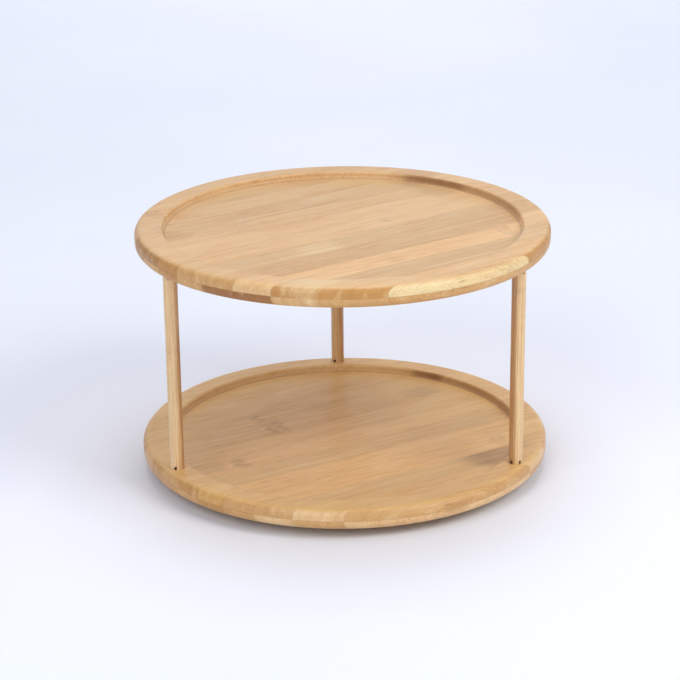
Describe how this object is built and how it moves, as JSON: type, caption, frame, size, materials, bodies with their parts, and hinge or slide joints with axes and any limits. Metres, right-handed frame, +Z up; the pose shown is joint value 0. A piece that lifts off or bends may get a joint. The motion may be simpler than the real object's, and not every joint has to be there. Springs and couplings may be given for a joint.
{
  "type": "lazy susan turntable",
  "caption": "Round two-tier bamboo turntable: recessed discs on three dowel posts, turning on a low steel ball bearing with rubber feet.",
  "frame": {"origin": "on the turning axis, at the level of the table that the rubber feet stand on", "axes": "+Z up along the turning axis; +Y from the front gap between two posts towards the single back post; +X to the right seen from the front"},
  "size_m": [0.3, 0.3, 0.184],
  "materials": {
    "bamboo_board": "satin lacquer over laminated bamboo strips",
    "bamboo_dowel": "satin lacquer over straight-grained bamboo",
    "zinc_steel": "stamped sheet, bright zinc plated",
    "screw_steel": "zinc plated",
    "ball_steel": "polished bearing balls with a film of grease",
    "brad_steel": "dull darkened steel",
    "nylon": "natural moulded nylon",
    "rubber": "matt moulded rubber"
  },
  "bodies": {
    "base": {"lower_race_plate": "zinc_steel", "centre_eyelet": "zinc_steel", "hub_washer": "nylon", "rubber_foot_1": "rubber", "rubber_foot_2": "rubber", "rubber_foot_3": "rubber", "rubber_foot_4": "rubber", "rubber_foot_5": "rubber", "rubber_foot_6": "rubber"},
    "turntable": {"lower_tray": "bamboo_board", "upper_tray": "bamboo_board", "left_post": "bamboo_dowel", "right_post": "bamboo_dowel", "back_post": "bamboo_dowel", "left_lower_brad_1": "brad_steel", "left_lower_brad_2": "brad_steel", "left_upper_brad_1": "brad_steel", "left_upper_brad_2": "brad_steel", "right_lower_brad_1": "brad_steel", "right_lower_brad_2": "brad_steel", "right_upper_brad_1": "brad_steel", "right_upper_brad_2": "brad_steel", "back_lower_brad_1": "brad_steel", "back_lower_brad_2": "brad_steel", "back_upper_brad_1": "brad_steel", "back_upper_brad_2": "brad_steel", "upper_race_plate": "zinc_steel", "plate_screw_1": "screw_steel", "plate_screw_2": "screw_steel", "plate_screw_3": "screw_steel", "plate_screw_4": "screw_steel"},
    "cage": {"ball_cage": "nylon"},
    "rolling_ball_01": {"ball_01": "ball_steel"},
    "rolling_ball_02": {"ball_02": "ball_steel"},
    "rolling_ball_03": {"ball_03": "ball_steel"},
    "rolling_ball_04": {"ball_04": "ball_steel"},
    "rolling_ball_05": {"ball_05": "ball_steel"},
    "rolling_ball_06": {"ball_06": "ball_steel"},
    "rolling_ball_07": {"ball_07": "ball_steel"},
    "rolling_ball_08": {"ball_08": "ball_steel"},
    "rolling_ball_09": {"ball_09": "ball_steel"},
    "rolling_ball_10": {"ball_10": "ball_steel"},
    "rolling_ball_11": {"ball_11": "ball_steel"},
    "rolling_ball_12": {"ball_12": "ball_steel"},
    "rolling_ball_13": {"ball_13": "ball_steel"},
    "rolling_ball_14": {"ball_14": "ball_steel"},
    "rolling_ball_15": {"ball_15": "ball_steel"},
    "rolling_ball_16": {"ball_16": "ball_steel"}
  },
  "joints": [
    {"name": "turntable_spin", "type": "hinge", "parent": "base", "child": "turntable", "pos_m": [0, 0, 0.005], "axis": [0, 0, 1], "continuous": true},
    {"name": "cage_spin", "type": "hinge", "parent": "base", "child": "cage", "pos_m": [0, 0, 0.005], "axis": [0, 0, 1], "continuous": true},
    {"name": "ball_01_roll", "type": "hinge", "parent": "cage", "child": "rolling_ball_01", "pos_m": [0.072, 0, 0.005], "axis": [1, 0, 0], "continuous": true},
    {"name": "ball_02_roll", "type": "hinge", "parent": "cage", "child": "rolling_ball_02", "pos_m": [0.06652, 0.02755, 0.005], "axis": [0.9239, 0.3827, 0], "continuous": true},
    {"name": "ball_03_roll", "type": "hinge", "parent": "cage", "child": "rolling_ball_03", "pos_m": [0.05091, 0.05091, 0.005], "axis": [0.7071, 0.7071, 0], "continuous": true},
    {"name": "ball_04_roll", "type": "hinge", "parent": "cage", "child": "rolling_ball_04", "pos_m": [0.02755, 0.06652, 0.005], "axis": [0.3827, 0.9239, 0], "continuous": true},
    {"name": "ball_05_roll", "type": "hinge", "parent": "cage", "child": "rolling_ball_05", "pos_m": [0, 0.072, 0.005], "axis": [0, 1, 0], "continuous": true},
    {"name": "ball_06_roll", "type": "hinge", "parent": "cage", "child": "rolling_ball_06", "pos_m": [-0.02755, 0.06652, 0.005], "axis": [-0.3827, 0.9239, 0], "continuous": true},
    {"name": "ball_07_roll", "type": "hinge", "parent": "cage", "child": "rolling_ball_07", "pos_m": [-0.05091, 0.05091, 0.005], "axis": [-0.7071, 0.7071, 0], "continuous": true},
    {"name": "ball_08_roll", "type": "hinge", "parent": "cage", "child": "rolling_ball_08", "pos_m": [-0.06652, 0.02755, 0.005], "axis": [-0.9239, 0.3827, 0], "continuous": true},
    {"name": "ball_09_roll", "type": "hinge", "parent": "cage", "child": "rolling_ball_09", "pos_m": [-0.072, 0, 0.005], "axis": [-1, 0, 0], "continuous": true},
    {"name": "ball_10_roll", "type": "hinge", "parent": "cage", "child": "rolling_ball_10", "pos_m": [-0.06652, -0.02755, 0.005], "axis": [-0.9239, -0.3827, 0], "continuous": true},
    {"name": "ball_11_roll", "type": "hinge", "parent": "cage", "child": "rolling_ball_11", "pos_m": [-0.05091, -0.05091, 0.005], "axis": [-0.7071, -0.7071, 0], "continuous": true},
    {"name": "ball_12_roll", "type": "hinge", "parent": "cage", "child": "rolling_ball_12", "pos_m": [-0.02755, -0.06652, 0.005], "axis": [-0.3827, -0.9239, 0], "continuous": true},
    {"name": "ball_13_roll", "type": "hinge", "parent": "cage", "child": "rolling_ball_13", "pos_m": [0, -0.072, 0.005], "axis": [0, -1, 0], "continuous": true},
    {"name": "ball_14_roll", "type": "hinge", "parent": "cage", "child": "rolling_ball_14", "pos_m": [0.02755, -0.06652, 0.005], "axis": [0.3827, -0.9239, 0], "continuous": true},
    {"name": "ball_15_roll", "type": "hinge", "parent": "cage", "child": "rolling_ball_15", "pos_m": [0.05091, -0.05091, 0.005], "axis": [0.7071, -0.7071, 0], "continuous": true},
    {"name": "ball_16_roll", "type": "hinge", "parent": "cage", "child": "rolling_ball_16", "pos_m": [0.06652, -0.02755, 0.005], "axis": [0.9239, -0.3827, 0], "continuous": true}
  ],
  "couplings": [
    {"joint": "cage_spin", "follows": "turntable_spin", "ratio": 0.5},
    {"joint": "ball_01_roll", "follows": "turntable_spin", "ratio": -18},
    {"joint": "ball_02_roll", "follows": "turntable_spin", "ratio": -18},
    {"joint": "ball_03_roll", "follows": "turntable_spin", "ratio": -18},
    {"joint": "ball_04_roll", "follows": "turntable_spin", "ratio": -18},
    {"joint": "ball_05_roll", "follows": "turntable_spin", "ratio": -18},
    {"joint": "ball_06_roll", "follows": "turntable_spin", "ratio": -18},
    {"joint": "ball_07_roll", "follows": "turntable_spin", "ratio": -18},
    {"joint": "ball_08_roll", "follows": "turntable_spin", "ratio": -18},
    {"joint": "ball_09_roll", "follows": "turntable_spin", "ratio": -18},
    {"joint": "ball_10_roll", "follows": "turntable_spin", "ratio": -18},
    {"joint": "ball_11_roll", "follows": "turntable_spin", "ratio": -18},
    {"joint": "ball_12_roll", "follows": "turntable_spin", "ratio": -18},
    {"joint": "ball_13_roll", "follows": "turntable_spin", "ratio": -18},
    {"joint": "ball_14_roll", "follows": "turntable_spin", "ratio": -18},
    {"joint": "ball_15_roll", "follows": "turntable_spin", "ratio": -18},
    {"joint": "ball_16_roll", "follows": "turntable_spin", "ratio": -18}
  ]
}
